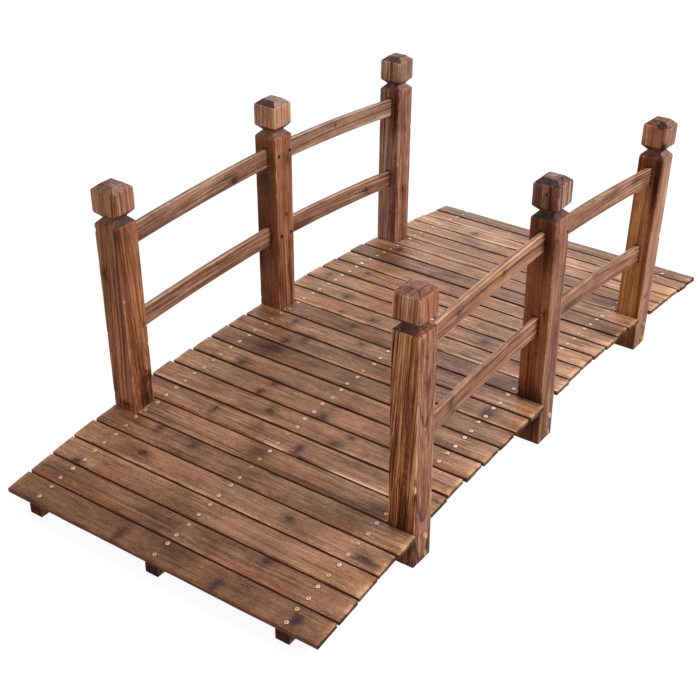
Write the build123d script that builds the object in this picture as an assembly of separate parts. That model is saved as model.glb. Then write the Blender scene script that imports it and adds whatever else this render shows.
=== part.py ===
from build123d import *
import os
from math import asin, atan, cos, degrees, radians, sin, sqrt, tan

# Arched garden footbridge in softwood, millimetres, +X along the walkway,
# +Y to the left-hand railing, +Z up.  Origin on the ground under the middle.

# Deck: flat boards laid across an arched bed
DECK_LENGTH = 1500.0      # end to end, measured level
BOARD_LENGTH = 692.0
CROWN_TOP = 97.0          # top of the deck at mid-span, above the ground
END_TOP = 40.0            # top of the deck at either end
BOARD_COUNT = 27
BOARD_THICK = 10.0
BOARD_GAP = 3.0
SHORT_BOARD_GAP = 1.0      # at either end of the boards that pass between posts
BOARD_EASE = 1.0          # arris taken off the upper edges
# Boards nailed off centre, by number: how far each stands to the left
BOARD_SHIFT = {
    1: -1, 2: -2, 3: -1, 5: -3, 7: 4, 8: 6, 9: 1, 10: -2, 11: -3, 12: -4, 13: -6,
    15: -3, 17: 1, 18: -1, 19: -3, 21: -2, 23: -3, 24: -2, 26: -2, 27: 1,
}

# Stringers: three beams sawn to the arch
STRINGER_THICK = 28.0
STRINGER_DEPTH = 58.0     # square to the arch, where the underside is sawn out
STRINGER_FOOT = 10.0      # the straight lower edge clears the ground
STRINGER_HALF = 748.0     # half length

# Posts: square, one piece from the ground to the cap
POST_SIDE = 53.0
POST_OUTER = 343.0        # outer faces, from the centre line
STATIONS = {"near": -447.5, "middle": 0.0, "far": 447.5}
SHOULDER = 377.0          # heights above the deck at the post
NECK = 388.5
CAP_FOOT = 400.0
CAP_EDGE = 442.5
CAP_TOP = 453.0
NECK_SIDE = 30.0
CAP_FLAT = 27.5
POST_EASE = 1.2
# Set by hand: how much higher each post is fixed than the drawing, with its rails
POST_RISE = {
    ("left", "near"): 4.0, ("left", "middle"): 6.5, ("left", "far"): -3.0,
    ("right", "near"): 1.0, ("right", "middle"): 4.0, ("right", "far"): -16.0,
}

# Set by hand: how many degrees each post leans along the bridge, about the deck's top
POST_LEAN = {
    ("left", "near"): -0.6, ("left", "middle"): 0.0, ("left", "far"): 0.4,
    ("right", "near"): -0.6, ("right", "middle"): -1.2, ("right", "far"): 2.6,
}
FOOT_SPARE = 5.0          # a post's length below ground before its foot is cut level

# Rails: sawn to the same centre as the deck, let into the posts
RAIL_THICK = 10.0
RAIL_TALL = 39.0
RAIL_TOPS = {"upper": 353.5, "lower": 179.0}   # above the deck, square to the arch
RAIL_EASE = 1.5
TENON = 15.0
MORTISE_DEPTH = 17.0
MORTISE_SIDE_GAP = 0.75
MORTISE_HEAD_GAP = 2.0

half = DECK_LENGTH / 2
sag = CROWN_TOP - END_TOP
R_DECK = (sag**2 + half**2) / (2 * sag)
Z_CENTRE = CROWN_TOP - R_DECK
ARC = 2 * R_DECK * asin(half / R_DECK)
PITCH = (ARC + BOARD_GAP) / BOARD_COUNT
BOARD_WIDE = PITCH - BOARD_GAP
POST_Y = POST_OUTER - POST_SIDE / 2
STRINGER_Y = POST_OUTER - POST_SIDE - STRINGER_THICK / 2
SIDES = {"left": 1, "right": -1}
BAYS = {"near": ("near", "middle"), "far": ("middle", "far")}


def arch_z(radius, x):
    """Height of an arc struck from the deck's centre, at x along the bridge."""
    return Z_CENTRE + sqrt(radius**2 - x**2)


def board_angle(number):
    return (number - (BOARD_COUNT - 1) / 2) * PITCH / R_DECK


def short_boards():
    """The board at each pair of posts, which is cut short to pass between them."""
    return {
        min(range(BOARD_COUNT), key=lambda n: abs(R_DECK * sin(board_angle(n)) - x))
        for x in STATIONS.values()
    }


def extrude_y(face, thickness):
    return extrude(Plane.XZ * face, amount=thickness / 2, both=True)


def stringer(y):
    """Top dressed flat under each board, underside sawn to an arch between flats."""
    bed = (R_DECK - BOARD_THICK) / cos(PITCH / R_DECK / 2)
    joints = [board_angle(n + 0.5) for n in range(BOARD_COUNT - 1)]
    top = [(bed * sin(a), Z_CENTRE + bed * cos(a)) for a in joints]
    under = R_DECK - BOARD_THICK - STRINGER_DEPTH
    turn = sqrt(under**2 - (STRINGER_FOOT - Z_CENTRE) ** 2)
    last = board_angle(BOARD_COUNT - 1)
    x, z = top[-1]
    end_z = z - (STRINGER_HALF - x) * sin(last) / cos(last)
    top = [(-STRINGER_HALF, end_z), *top, (STRINGER_HALF, end_z)]
    edge = Curve() + [
        Polyline(*top),
        Polyline(top[-1], (STRINGER_HALF, STRINGER_FOOT), (turn, STRINGER_FOOT)),
        ThreePointArc((turn, STRINGER_FOOT), (0, Z_CENTRE + under), (-turn, STRINGER_FOOT)),
        Polyline((-turn, STRINGER_FOOT), (-STRINGER_HALF, STRINGER_FOOT), top[0]),
    ]
    return Pos(0, y, 0) * extrude_y(make_face(edge), STRINGER_THICK)


def board(number, length, shift):
    """A flat board square to the arch, its upper arrises eased."""
    angle = board_angle(number)
    radius = R_DECK - BOARD_THICK / 2
    plank = Box(BOARD_WIDE, length, BOARD_THICK)
    plank = chamfer(plank.faces().sort_by(Axis.Z)[-1].edges(), BOARD_EASE)
    seat = Pos(radius * sin(angle), shift, Z_CENTRE + radius * cos(angle))
    return seat * Rot(0, degrees(angle), 0) * plank


def arc_bar(x0, x1, low, high, thickness):
    """A bar bent to the arch between two radii above the deck's centre."""
    mid = (x0 + x1) / 2
    edge = Curve() + [
        ThreePointArc((x0, arch_z(high, x0)), (mid, arch_z(high, mid)), (x1, arch_z(high, x1))),
        Line((x1, arch_z(high, x1)), (x1, arch_z(low, x1))),
        ThreePointArc((x1, arch_z(low, x1)), (mid, arch_z(low, mid)), (x0, arch_z(low, x0))),
        Line((x0, arch_z(low, x0)), (x0, arch_z(high, x0))),
    ]
    return extrude_y(make_face(edge), thickness)


def hang(bar, level, side, bay):
    """Moves a bar drawn on the centre line to its railing, and tilts it to suit its two posts."""
    start, stop = BAYS[bay]
    x, rise = STATIONS[start], POST_RISE[side, start]
    z = arch_z(R_DECK + RAIL_TOPS[level], x)
    tilt = atan((POST_RISE[side, stop] - rise) / (STATIONS[stop] - x))
    railing = Pos(x, SIDES[side] * POST_Y, z + rise)
    return railing * Rot(0, -degrees(tilt), 0) * Pos(-x, 0, -z) * bar


def post_x(level, side, place):
    """Where the middle of a leaning post is at the height of a rail."""
    height = RAIL_TOPS[level] - RAIL_TALL / 2
    return STATIONS[place] + height * tan(radians(POST_LEAN[side, place]))


def rail(level, side, bay):
    start, stop = (post_x(level, side, place) for place in BAYS[bay])
    inset = POST_SIDE / 2 - TENON
    top = R_DECK + RAIL_TOPS[level]
    bar = arc_bar(start + inset, stop - inset, top - RAIL_TALL, top, RAIL_THICK)
    long_edges = bar.edges().filter_by(GeomType.CIRCLE)
    return hang(chamfer(long_edges, RAIL_EASE), level, side, bay)


def mortise(level, side, bay, place):
    """The pocket in a post for one rail end: the rail lies on its floor, loose at head and sides."""
    bottom = R_DECK + RAIL_TOPS[level] - RAIL_TALL
    head = bottom + RAIL_TALL + MORTISE_HEAD_GAP
    inward = 1 if place == BAYS[bay][0] else -1
    face = post_x(level, side, place) + inward * POST_SIDE / 2
    ends = sorted((face - inward * MORTISE_DEPTH, face + inward * 4))
    pocket = arc_bar(*ends, bottom, head, RAIL_THICK + 2 * MORTISE_SIDE_GAP)
    return hang(pocket, level, side, bay)


def frustum(z0, side0, z1, side1):
    low = Plane.XY.offset(z0) * Rectangle(side0, side0)
    high = Plane.XY.offset(z1) * Rectangle(side1, side1)
    return loft([low, high])


def post(side, place):
    """Square post with a V-cut neck and a cap bevelled on four sides to a flat."""
    x = STATIONS[place]
    deck = arch_z(R_DECK, x) + POST_RISE[side, place]
    shaft = deck + SHOULDER
    cap_tall = CAP_EDGE - CAP_FOOT
    length = shaft + FOOT_SPARE
    body = Pos(0, 0, shaft - length / 2) * Box(POST_SIDE, POST_SIDE, length)
    body += frustum(shaft, POST_SIDE, deck + NECK, NECK_SIDE)
    body += frustum(deck + NECK, NECK_SIDE, deck + CAP_FOOT, POST_SIDE)
    body += Pos(0, 0, deck + CAP_FOOT + cap_tall / 2) * Box(POST_SIDE, POST_SIDE, cap_tall)
    body += frustum(deck + CAP_EDGE, POST_SIDE, deck + CAP_TOP, CAP_FLAT)
    body = chamfer(body.edges().filter_by(Axis.Z), POST_EASE)
    lean = Pos(0, 0, deck) * Rot(0, POST_LEAN[side, place], 0) * Pos(0, 0, -deck)
    body = split(Pos(x, SIDES[side] * POST_Y, 0) * lean * body, Plane.XY, keep=Keep.TOP)
    for bay, places in BAYS.items():
        if place in places:
            for level in RAIL_TOPS:
                body -= mortise(level, side, bay, place)
    return body


def save(shape, name):
    export_step(shape, f"parts/{name}.step")


os.makedirs("parts", exist_ok=True)

save(stringer(STRINGER_Y), "stringer_left")
save(stringer(0), "stringer_middle")
save(stringer(-STRINGER_Y), "stringer_right")

short = short_boards()
between_posts = 2 * (POST_OUTER - POST_SIDE - SHORT_BOARD_GAP)
for number in range(BOARD_COUNT):
    if number in short:
        plank = board(number, between_posts, 0)
    else:
        plank = board(number, BOARD_LENGTH, BOARD_SHIFT.get(number + 1, 0))
    save(plank, f"deck_board_{number + 1:02d}")

for side in SIDES:
    for place in STATIONS:
        save(post(side, place), f"post_{side}_{place}")
    for level in RAIL_TOPS:
        for bay in BAYS:
            save(rail(level, side, bay), f"{level}_rail_{side}_{bay}")
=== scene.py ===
"""Arched garden footbridge in torched softwood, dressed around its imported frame.

Every board, post, rail and stringer is modelled again with worn arrises over its plain
solid, and gets its screws, bolts and nail holes. Metres.
"""

import random
from math import asin, atan, cos, pi, radians, sin, sqrt, tan

import bmesh
import bpy
from mathutils import Matrix, Vector, noise


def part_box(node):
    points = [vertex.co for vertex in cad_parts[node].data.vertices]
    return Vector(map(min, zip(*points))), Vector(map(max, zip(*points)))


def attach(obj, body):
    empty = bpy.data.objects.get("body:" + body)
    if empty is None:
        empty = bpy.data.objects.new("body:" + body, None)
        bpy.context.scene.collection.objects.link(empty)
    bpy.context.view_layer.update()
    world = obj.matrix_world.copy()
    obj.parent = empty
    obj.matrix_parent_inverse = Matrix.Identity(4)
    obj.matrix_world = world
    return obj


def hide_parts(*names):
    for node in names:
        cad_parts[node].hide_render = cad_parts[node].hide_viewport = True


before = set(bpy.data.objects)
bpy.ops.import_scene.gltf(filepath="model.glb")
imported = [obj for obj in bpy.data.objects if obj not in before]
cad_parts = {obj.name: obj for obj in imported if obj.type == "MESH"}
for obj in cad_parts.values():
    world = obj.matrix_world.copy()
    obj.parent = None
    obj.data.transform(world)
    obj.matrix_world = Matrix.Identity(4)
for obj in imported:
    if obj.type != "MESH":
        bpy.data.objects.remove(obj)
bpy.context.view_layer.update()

MM = 0.001

# The arch, from the frame: all curves are struck from one centre under the middle
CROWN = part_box("deck_board_14")
BOARD_COUNT = 27
MIDDLE_BOARD = 14
SHORT_BOARDS = (6, 14, 22)
END_TOP = 0.040
BOARD_GAP = 0.003
BOARD_WIDE = CROWN[1].x - CROWN[0].x
BOARD_THICK = CROWN[1].z - CROWN[0].z
HALF_LENGTH = 0.750
SAG = CROWN[1].z - END_TOP
R_DECK = (SAG**2 + HALF_LENGTH**2) / (2 * SAG)
Z_CENTRE = CROWN[1].z - R_DECK
PITCH = (2 * R_DECK * asin(HALF_LENGTH / R_DECK) + BOARD_GAP) / BOARD_COUNT

# Railings
STATIONS = {"near": -0.4475, "middle": 0.0, "far": 0.4475}
SIDES = {"left": 1, "right": -1}
BAYS = {"near": ("near", "middle"), "far": ("middle", "far")}
RAIL_TOPS = {"upper": 0.3535, "lower": 0.179}      # above the deck, square to the arch
RAIL_TALL = 0.039
RAIL_THICK = 0.010
TENON = 0.015
MORTISE_DEPTH = 0.017
MORTISE_SIDE_GAP = 0.0021
MORTISE_HEAD_GAP = 0.0032
POST_SIDE = 0.053
POST_Y = 0.3165
# Heights on a post, down from its top
SHOULDER_DROP = 0.076
NECK_DROP = 0.0645
CAP_FOOT_DROP = 0.053
CAP_EDGE_DROP = 0.0105
NECK_SIDE = 0.030
CAP_FLAT = 0.0275
CAP_HEIGHT = 0.453          # of the cap's top above the deck at the post
FOOT_SPARE = 0.005          # a post's length below ground before its foot is cut level
# How many degrees each post leans along the bridge, about the deck's top
POST_LEAN = {
    ("left", "near"): -0.6, ("left", "middle"): 0.0, ("left", "far"): 0.4,
    ("right", "near"): -0.6, ("right", "middle"): -1.2, ("right", "far"): 2.6,
}
STRINGER_DEPTH = 0.058
STRINGER_FOOT = 0.010

# How wide the arrises of each piece are eased, and how finely it is cut so that it can wear
BOARD_EASE = 0.0015
POST_EASE = 0.0015
RAIL_EASE = 0.0018
STRINGER_EASE = 0.0012
EASE_STEPS = 2
SMOOTH_UNDER = radians(35)
BOARD_CUTS = {"along": 59, "across": 5}
POST_CUTS = {"along": 110, "across": 9}
RAIL_CUTS = 39
RAIL_ROWS = (0.0045, 0.009)   # cuts along a rail, in from its top and its bottom

# Fastenings
SCREW_ROWS = {"left": 0.277, "middle": 0.001, "right": -0.277}
SCREW_OFFSETS = (-0.0125, 0.0175)   # from a board's middle
SCREW_HEAD = 0.0047
SCREW_THICK = 0.0009
# From a screw's rim to its recess: (how far in, how far up)
SCREW_INSETS = ((0.0007, 0.0), (0.0003, 0.0004), (0.0022, 0.0001), (0.0001, -0.0005))
SCREW_SINK = 0.0008           # width of the dark countersink ring about a head, partly painted shade
SCREW_RECESS = 0.0031         # from the rim in to the recess, painted dark as shade
SCREW_STRAY = (0.002, 0.0025)
SCREW_PLATING = (0.0, 0.1, 0.2, 0.3, 0.45, 0.55, 0.7, 0.8)
BOLT_HEIGHTS = (0.013, 0.050)
BOLT_SHIFT = 0.008            # along the bridge from the middle of the post
BOLT_HEAD = 0.0064
BOLT_FLANGE = 0.001           # its thickness
BOLT_EASE = 0.0003
BOLT_HEX = 0.82 * BOLT_HEAD
BOLT_TALL = 0.003
BOLT_STRAY = 0.003
BOLT_PLATING = (0.35, 0.9)
NAIL_HOLE = 0.0044


def arch_z(radius, x):
    """Height of an arc struck from the deck's centre, at x along the bridge."""
    return Z_CENTRE + sqrt(radius**2 - x**2)


def board_angle(number):
    return (number - MIDDLE_BOARD) * PITCH / R_DECK


def on_arch(radius, number):
    """Takes what is drawn on the origin to the middle of a board, square to the arch."""
    angle = board_angle(number)
    place = Matrix.Translation((radius * sin(angle), 0, Z_CENTRE + radius * cos(angle)))
    return place @ Matrix.Rotation(angle, 4, "Y")


def post_rise(side, place):
    """How much higher than the drawing a post stands."""
    lean = radians(abs(POST_LEAN[side, place]))
    tall = CAP_HEIGHT * cos(lean) + CAP_FLAT / 2 * sin(lean)
    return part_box(f"post_{side}_{place}")[1].z - tall - arch_z(R_DECK, STATIONS[place])


def deck_z(side, place):
    """The height above the ground that a post's own heights are given from."""
    return arch_z(R_DECK, STATIONS[place]) + post_rise(side, place)


def lean_over(side, place):
    """Takes a post drawn upright to the way it leans, about the deck's top."""
    x = STATIONS[place]
    z = deck_z(side, place)
    turn = Matrix.Rotation(radians(POST_LEAN[side, place]), 4, "Y")
    return Matrix.Translation((x, 0, z)) @ turn @ Matrix.Translation((-x, 0, -z))


def post_x(level, side, place):
    """Where the middle of a leaning post is at the height of a rail."""
    height = RAIL_TOPS[level] - RAIL_TALL / 2
    return STATIONS[place] + height * tan(radians(POST_LEAN[side, place]))


def hang(level, side, bay):
    """Takes a bar drawn on the centre line to its railing, tilted to suit its two posts."""
    start, stop = BAYS[bay]
    x = STATIONS[start]
    rise = post_rise(side, start)
    z = arch_z(R_DECK + RAIL_TOPS[level], x)
    tilt = atan((post_rise(side, stop) - rise) / (STATIONS[stop] - x))
    there = Matrix.Translation((x, SIDES[side] * POST_Y, z + rise))
    return there @ Matrix.Rotation(-tilt, 4, "Y") @ Matrix.Translation((-x, 0, -z))


def either_way(luck, low, high):
    """A random length between two, to either side."""
    return luck.choice((-1, 1)) * luck.uniform(low, high)


def clamp(value):
    return max(0.0, min(1.0, value))


# ---- working with meshes


def primitive(add, **settings):
    """Adds a primitive by itself, with its place in its mesh."""
    bpy.ops.object.select_all(action="DESELECT")
    add(**settings)
    bpy.ops.object.transform_apply(location=True, rotation=True, scale=True)
    return bpy.context.object


def block(name, low, high):
    """A block between two corners, open in edit mode."""
    size = [b - a for a, b in zip(low, high)]
    middle = [(a + b) / 2 for a, b in zip(low, high)]
    piece = primitive(bpy.ops.mesh.primitive_cube_add, size=1, location=middle, scale=size)
    piece.name = piece.data.name = name
    bpy.ops.object.mode_set(mode="EDIT")
    return piece


def pick(piece, kind, test):
    """Selects the edges or faces of a piece in edit mode that pass a test."""
    bpy.ops.mesh.select_mode(type=kind)
    bpy.ops.mesh.select_all(action="DESELECT")
    mesh = bmesh.from_edit_mesh(piece.data)
    for item in {"EDGE": mesh.edges, "FACE": mesh.faces}[kind]:
        if test(item):
            item.select_set(True)
    bmesh.update_edit_mesh(piece.data)


def along(axis):
    """A test for edges that run along one axis."""
    def test(edge):
        run = (edge.verts[1].co - edge.verts[0].co).normalized()
        return abs(run[axis]) > 0.98
    return test


def facing_up(face):
    return face.normal.z > 0.9


def ease(width):
    """Rounds the picked edges over."""
    bpy.ops.mesh.bevel(offset=width, segments=EASE_STEPS, affect="EDGES")


def cut_at(axis, places):
    """Cuts through the whole piece at right angles to an axis."""
    for place in places:
        bpy.ops.mesh.select_all(action="SELECT")
        point = [0.0, 0.0, 0.0]
        normal = [0.0, 0.0, 0.0]
        point[axis] = place
        normal[axis] = 1.0
        bpy.ops.mesh.bisect(plane_co=point, plane_no=normal)


def steps(low, high, count):
    """Evenly spaced places between two, without either."""
    return [low + (high - low) * n / (count + 1) for n in range(1, count + 1)]


def finish_mesh():
    """Turns all faces outwards, leaves edit mode and smooths what is nearly flat."""
    bpy.ops.mesh.select_all(action="SELECT")
    bpy.ops.mesh.normals_make_consistent(inside=False)
    bpy.ops.object.mode_set(mode="OBJECT")
    bpy.ops.object.shade_smooth_by_angle(angle=SMOOTH_UNDER)


def seat(piece, matrix):
    """Moves a finished mesh to its place and leaves the object at the origin."""
    piece.data.transform(matrix)
    piece.data.update()


def bend_to_arch(piece, radius):
    """Raises a straight bar, column by column, to an arc about the deck's centre."""
    for vertex in piece.data.vertices:
        vertex.co.z += arch_z(radius, vertex.co.x)


def joined(name, parts):
    """Makes one piece of several."""
    bpy.ops.object.select_all(action="DESELECT")
    for part in parts:
        part.select_set(True)
    bpy.context.view_layer.objects.active = parts[0]
    bpy.ops.object.join()
    piece = bpy.context.object
    piece.name = piece.data.name = name
    return piece


def cut_out(piece, cutters):
    """Takes the cutters out of a piece."""
    tool = joined("cutters", cutters)
    bpy.ops.object.select_all(action="DESELECT")
    piece.select_set(True)
    bpy.context.view_layer.objects.active = piece
    cut = piece.modifiers.new("cut", "BOOLEAN")
    cut.operation = "DIFFERENCE"
    cut.solver = "EXACT"
    cut.object = tool
    bpy.ops.object.modifier_apply(modifier=cut.name)
    bpy.data.objects.remove(tool)


# ---- grain of each piece

# How many knots and scorches, some of them partly painted shade, a piece can have, and where those that it
# lacks are
KNOT_PLACES = 4
SCORCH_AND_SHADE_PLACES = 6
NOWHERE = (9.0, 9.0, 9.0)
TINY = (0.01, 0.01, 0.01)
PLAIN = (0.0, 1.0, 0.0, 0.0)    # a face no different from the rest of its piece


def write(mesh, name, kind, values, domain="POINT"):
    """Stores one value for each point or face, for a finish to read by name."""
    layer = mesh.attributes.new(name, kind, domain)
    field = "vector" if kind == "FLOAT_VECTOR" else "value"
    flat = [n for v in values for n in v] if kind == "FLOAT_VECTOR" else values
    layer.data.foreach_set(field, flat)


def box_arris(*half):
    """The rule for how far a point on a block is from the nearest arris."""
    def rule(place):
        return max(0.0, sorted(h - abs(p) for h, p in zip(half, place))[1])
    return rule


def lay_grain(piece, axes, middle, arris, facet, log, knots=(), scorches=()):
    """Writes where a piece lay in its log, for the wood finish to read.

    axes are the piece's two cross axes and its long axis. arris says how far a point is from
    the nearest arris, and facet says for one face how much darker it is, how much more its
    rings show, how charred it is and how bleached; on some faces that darkness and char are
    painted shade. log has the place of the log's heart from the middle of the piece, how the
    piece leans in it, its tone, its figure, which is how strongly the rings show, and how rough
    sawn the first axis's faces are. Knots are (place, half size) from the middle, and scorches
    also say how dark they are, less than nothing where the torch hardly touched; the scorches
    at some post feet are partly painted shade.
    """
    mesh = piece.data
    start = random.Random(piece.name).uniform(0, 40)
    heart = log["heart"]
    lean = log.get("lean", (0.0, 0.0))

    def in_log(place):
        a, b, c = place
        return Vector((a - heart[0] + lean[0] * c, b - heart[1] + lean[1] * c, c + start))

    places = [[v.co[a] - middle[a] for a in axes] for v in mesh.vertices]
    count = len(places)
    write(mesh, "grain", "FLOAT_VECTOR", [in_log(p) for p in places])
    write(mesh, "arris", "FLOAT", [arris(p) for p in places])
    facets = [facet(face) for face in mesh.polygons]
    normals = [face.normal for face in mesh.polygons]
    sawn = log.get("sawn", 0.0)
    by_face = {
        "tone": [log["tone"] + f[0] for f in facets],
        "figure": [log.get("figure", 1.0) * f[1] for f in facets],
        "charred": [f[2] for f in facets],
        "bleached": [f[3] for f in facets],
        "end_grain": [float(abs(n[axes[2]]) > 0.8) for n in normals],
        "rough_sawn": [sawn * (abs(n[axes[0]]) > 0.6) for n in normals],
    }
    for word, values in by_face.items():
        write(mesh, word, "FLOAT", values, "FACE")
    for n in range(KNOT_PLACES):
        place, size = knots[n] if n < len(knots) else (NOWHERE, TINY)
        write(mesh, f"knot_{n + 1}", "FLOAT_VECTOR", [in_log(place)] * count)
        write(mesh, f"knot_{n + 1}_size", "FLOAT_VECTOR", [size] * count)
    for n in range(SCORCH_AND_SHADE_PLACES):
        place, size, depth = scorches[n] if n < len(scorches) else (NOWHERE, TINY, 0.0)
        write(mesh, f"scorch_{n + 1}", "FLOAT_VECTOR", [in_log(place)] * count)
        write(mesh, f"scorch_{n + 1}_size", "FLOAT_VECTOR", [size] * count)
        write(mesh, f"scorch_{n + 1}_depth", "FLOAT", [depth] * count)


# ---- finishes


def paint(red, green, blue):
    """A colour as mixed on a card, 0 to 255, as the shader wants it."""
    def linear(c):
        c /= 255
        return c / 12.92 if c <= 0.04045 else ((c + 0.055) / 1.055) ** 2.4
    return (linear(red), linear(green), linear(blue), 1.0)


def add_node(tree, kind, inputs=(), **settings):
    """Adds a node, its inputs each linked to another node's output or set to a value."""
    made = tree.nodes.new(kind)
    for key, value in settings.items():
        setattr(made, key, value)
    for key, value in dict(inputs).items():
        if isinstance(value, bpy.types.NodeSocket):
            tree.links.new(value, made.inputs[key])
        else:
            made.inputs[key].default_value = value
    return made


class Recipe:
    """Builds a material's nodes: each call adds one and returns its output."""

    def __init__(self, name):
        self.material = bpy.data.materials.new(name)
        self.material.use_nodes = True
        self.tree = self.material.node_tree

    def node(self, kind, inputs=(), **settings):
        return add_node(self.tree, kind, inputs, **settings)

    def read(self, name, output="Fac"):
        return self.node("ShaderNodeAttribute", attribute_name=name).outputs[output]

    def math(self, operation, a, b=0.0):
        return self.node("ShaderNodeMath", {0: a, 1: b}, operation=operation).outputs[0]

    def fold(self, operation, terms):
        total = terms[0]
        for term in terms[1:]:
            total = self.math(operation, total, term)
        return total

    def sum(self, *terms):
        return self.fold("ADD", terms)

    def times(self, *terms):
        return self.fold("MULTIPLY", terms)

    def vector(self, operation, a, b=(0, 0, 0)):
        made = self.node("ShaderNodeVectorMath", {0: a, 1: b}, operation=operation)
        return made.outputs["Value" if operation == "LENGTH" else 0]

    def spread(self, value, low, high, new_low=0.0, new_high=1.0):
        """Maps a range to another with soft ends."""
        inputs = {"Value": value, "From Min": low, "From Max": high,
                  "To Min": new_low, "To Max": new_high}
        kind = "SMOOTHSTEP"
        return self.node("ShaderNodeMapRange", inputs, interpolation_type=kind).outputs[0]

    def noise(self, place, stretch, detail, rough, output="Fac"):
        scaled = self.vector("MULTIPLY", place, stretch)
        inputs = {"Vector": scaled, "Scale": 1.0, "Detail": detail, "Roughness": rough}
        return self.node("ShaderNodeTexNoise", inputs).outputs[output]

    def swing(self, value, amount):
        """A noise about zero, this far each way."""
        return self.times(self.math("SUBTRACT", value, 0.5), 2 * amount)

    def mix(self, share, a, b, blend="MIX"):
        inputs = {0: share, 6: a, 7: b}
        return self.node("ShaderNodeMix", inputs, data_type="RGBA", blend_type=blend).outputs[2]

    def ramp(self, value, stops):
        """Turns a number into a colour, by (place, colour) along the way."""
        made = self.node("ShaderNodeValToRGB", {0: value})
        band = made.color_ramp
        while len(band.elements) < len(stops):
            band.elements.new(0.5)
        for element, (place, colour) in zip(band.elements, stops):
            element.position = place
            element.color = colour
        return made.outputs[0]

    def bump(self, height, strength, depth):
        inputs = {"Height": height, "Strength": strength, "Distance": depth}
        return self.node("ShaderNodeBump", inputs).outputs[0]

    def finish(self, **inputs):
        """Feeds the shader and returns the material."""
        shader = self.tree.nodes["Principled BSDF"]
        for key, value in inputs.items():
            socket = shader.inputs[key.replace("_", " ")]
            if isinstance(value, bpy.types.NodeSocket):
                self.tree.links.new(value, socket)
            else:
                socket.default_value = value
        return self.material


# Pale fresh wood, which also paints the highlights on arrises that face the light
FRESH_WOOD_AND_HIGHLIGHT = paint(250, 208, 168)
WARM_TINT = paint(255, 222, 190)
COOL_TINT = paint(226, 236, 255)
RAW_SAWN = [(0.30, paint(156, 84, 52)), (0.52, paint(108, 57, 36)), (0.72, paint(44, 26, 19))]
CHAR = [(0.3, paint(30, 23, 20)), (0.7, paint(64, 48, 38))]
# Soot on charred faces; inside the mortises the same colours are painted shade
SOOT_AND_SHADE = [(0.3, paint(40, 36, 38)), (0.52, paint(66, 54, 52)), (0.72, paint(112, 86, 74))]
MARK_REACH = 1.9            # of a knot's swell and halo, in shares of its size
RELIEF = 0.0005
PLATING_STOPS = [(0.0, paint(236, 210, 188)), (0.3, paint(222, 172, 152)), (0.6, paint(234, 204, 138)),
                 (0.8, paint(212, 170, 92)), (1.0, paint(138, 102, 78))]
DULL_TINT = paint(206, 176, 146)
# Painted shade in a screw's recess and in the dark ring about its head
RECESS_SHADE_STOPS = [(0.3, paint(34, 26, 22)), (0.8, paint(62, 44, 32))]


def wobble(mix, place, stretch, reach, detail=2.0):
    """A noise that moves a point by up to its reach, any way."""
    cloud = mix.noise(place, stretch, detail, 0.5, "Color")
    centred = mix.vector("SUBTRACT", cloud, (0.5, 0.5, 0.5))
    return mix.vector("MULTIPLY", centred, (2 * reach,) * 3)


def away_from(mix, word, n, place):
    """How far a place is from a mark's middle, in shares of the mark's size."""
    offset = mix.vector("SUBTRACT", place, mix.read(f"{word}_{n}", "Vector"))
    offset = mix.vector("DIVIDE", offset, mix.read(f"{word}_{n}_size", "Vector"))
    return mix.vector("LENGTH", offset)


def glow(mix, away, reach):
    """Falls from 1 at a mark's middle to nothing past its reach."""
    scaled = mix.math("POWER", mix.math("DIVIDE", away, reach), 2.0)
    return mix.math("EXPONENT", mix.times(scaled, -1.0))


def knots_burns_and_shade(mix, grain):
    """How the rings swell about the knots, how far off the nearest knot is, and how burnt it is, with the
    painted shade of some scorch marks counted in.
    """
    ragged = mix.vector("ADD", grain, wobble(mix, grain, (140, 140, 80), 0.006, 3))
    knots = range(1, KNOT_PLACES + 1)
    swell = mix.sum(*[glow(mix, away_from(mix, "knot", n, grain), MARK_REACH) for n in knots])
    nearest = mix.fold("MINIMUM", [away_from(mix, "knot", n, ragged) for n in knots])
    burns_and_shade = [mix.times(glow(mix, away_from(mix, "scorch", n, ragged), 0.95), mix.read(f"scorch_{n}_depth"))
             for n in range(1, SCORCH_AND_SHADE_PLACES + 1)]
    return swell, nearest, mix.sum(*burns_and_shade)


def late_wood(mix, grain, wood, swell, look):
    """Rings about the heart: late wood darkens slowly, ends sharply, and fades in places."""
    gap = look["ring_gap"]
    radius = mix.vector("LENGTH", mix.vector("MULTIPLY", wood, (1, 1, 0)))
    radius = mix.sum(radius, mix.times(swell, gap * look["swell"]))
    uneven = {"W": mix.times(radius, 0.45 / gap), "Scale": 1.0, "Detail": 1.0}
    uneven = mix.node("ShaderNodeTexNoise", uneven, noise_dimensions="1D").outputs["Fac"]
    rings = mix.sum(mix.math("DIVIDE", radius, gap), mix.swing(uneven, 1.6))
    phase = mix.math("FRACT", rings)
    year = {"W": mix.math("FLOOR", rings)}
    year = mix.node("ShaderNodeTexWhiteNoise", year, noise_dimensions="1D").outputs["Value"]
    fading = mix.noise(grain, (30, 30, 6), 2, 0.5)
    return mix.times(mix.spread(phase, look["late_from"], 0.88), mix.spread(phase, 0.90, 1.0, 1.0, 0.0),
                     mix.spread(year, 0.1, 0.9, 0.2, 1.0), mix.spread(fading, 0.28, 0.62, 0.25, 1.0))


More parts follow.
